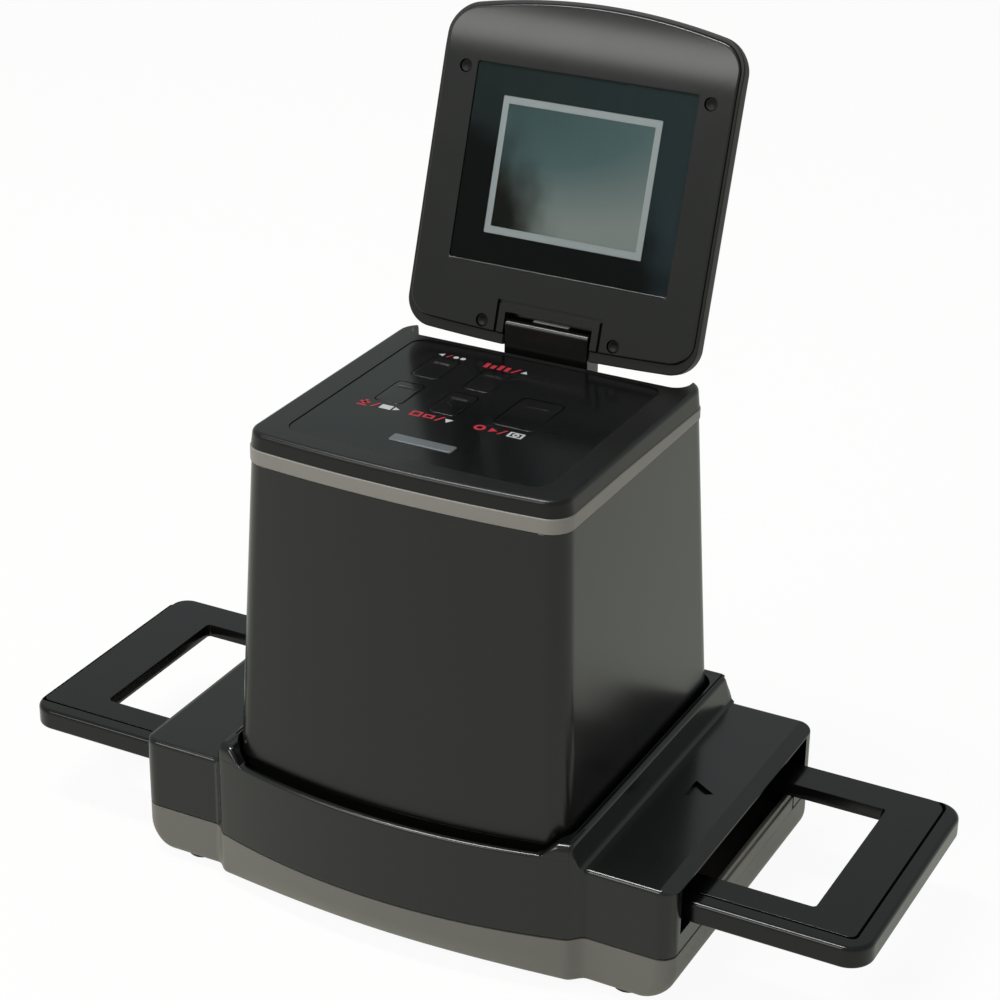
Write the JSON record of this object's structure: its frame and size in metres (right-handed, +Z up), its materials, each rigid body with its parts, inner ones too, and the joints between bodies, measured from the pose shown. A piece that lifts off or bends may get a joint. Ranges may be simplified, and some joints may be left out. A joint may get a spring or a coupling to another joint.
{
  "type": "film negative scanner",
  "caption": "Desktop film scanner: a tapered tower with push buttons and a hinged display lid, on a two-tone base with a sliding film tray.",
  "frame": {"origin": "on the surface it stands on, under the middle of its overall box with the lid open", "axes": "+X along the film tray, +Y to the back, +Z up"},
  "size_m": [0.274, 0.1386, 0.2434],
  "materials": {
    "black_plastic": "satin moulded",
    "gloss_black": "smooth, slightly glossy",
    "warm_grey": "satin moulded",
    "dark_inner": "matt",
    "panel_black": "smooth with fine marks",
    "window_pale": "frosted",
    "screen_glass": "polished, dark",
    "display_panel": "smooth",
    "foot_rubber": "matt",
    "pad_rubber": "matt",
    "steel": "plain",
    "circuit_board": "lacquered",
    "diffuser": "frosted",
    "lamp": "smooth",
    "lens_glass": "polished",
    "ribbon": "flexible film"
  },
  "bodies": {
    "base": {"lower_shell": "warm_grey", "base_cover": "black_plastic", "rubber_feet": "foot_rubber", "base_screws": "steel", "tower_screws": "steel", "film_gate": "dark_inner", "diffuser_panel": "diffuser", "backlight_board": "circuit_board", "backlight_lamps": "lamp", "tower_housing": "black_plastic", "trim_band": "warm_grey", "light_tunnel": "dark_inner", "lens_barrel": "dark_inner", "lens": "lens_glass", "image_sensor": "gloss_black", "sensor_board": "circuit_board", "main_board": "circuit_board", "usb_socket": "steel", "card_slot": "dark_inner", "board_screws": "steel", "top_bezel": "black_plastic", "control_panel": "panel_black", "keypad_mat": "pad_rubber", "button_board": "circuit_board", "panel_screws": "steel", "indicator_window": "window_pale", "hinge_block": "black_plastic", "hinge_screws": "steel", "hinge_pins": "steel", "tower_ribbon": "ribbon"},
    "lid": {"lid_bezel": "black_plastic", "lid_back_shell": "black_plastic", "screen_glass": "screen_glass", "display_module": "display_panel", "display_ribbon": "ribbon", "lid_plugs": "foot_rubber", "lid_screws": "steel"},
    "film_tray": {"tray_frame": "gloss_black", "tray_cover": "gloss_black", "tray_hinge_pins": "steel"},
    "key_back_left": {"button_back_left": "gloss_black"},
    "key_back_right": {"button_back_right": "gloss_black"},
    "key_front_left": {"button_front_left": "gloss_black"},
    "key_front_right": {"button_front_right": "gloss_black"},
    "key_ok": {"button_ok": "gloss_black"}
  },
  "joints": [
    {"name": "lid_hinge", "type": "hinge", "parent": "base", "child": "lid", "pos_m": [-0.0015, 0.03684, 0.15105], "axis": [1, 0, 0], "range_deg": [0, 107.7]},
    {"name": "tray_slide", "type": "slide", "parent": "base", "child": "film_tray", "axis": [1, 0, 0], "range_m": [-0.08, 0.08]},
    {"name": "key_back_left_press", "type": "slide", "parent": "base", "child": "key_back_left", "axis": [0, 0, -1], "range_m": [0, 0.0008], "stiffness_N_per_m": 600},
    {"name": "key_back_right_press", "type": "slide", "parent": "base", "child": "key_back_right", "axis": [0, 0, -1], "range_m": [0, 0.0008], "stiffness_N_per_m": 600},
    {"name": "key_front_left_press", "type": "slide", "parent": "base", "child": "key_front_left", "axis": [0, 0, -1], "range_m": [0, 0.0008], "stiffness_N_per_m": 600},
    {"name": "key_front_right_press", "type": "slide", "parent": "base", "child": "key_front_right", "axis": [0, 0, -1], "range_m": [0, 0.0008], "stiffness_N_per_m": 600},
    {"name": "key_ok_press", "type": "slide", "parent": "base", "child": "key_ok", "axis": [0, 0, -1], "range_m": [0, 0.0008], "stiffness_N_per_m": 600}
  ]
}
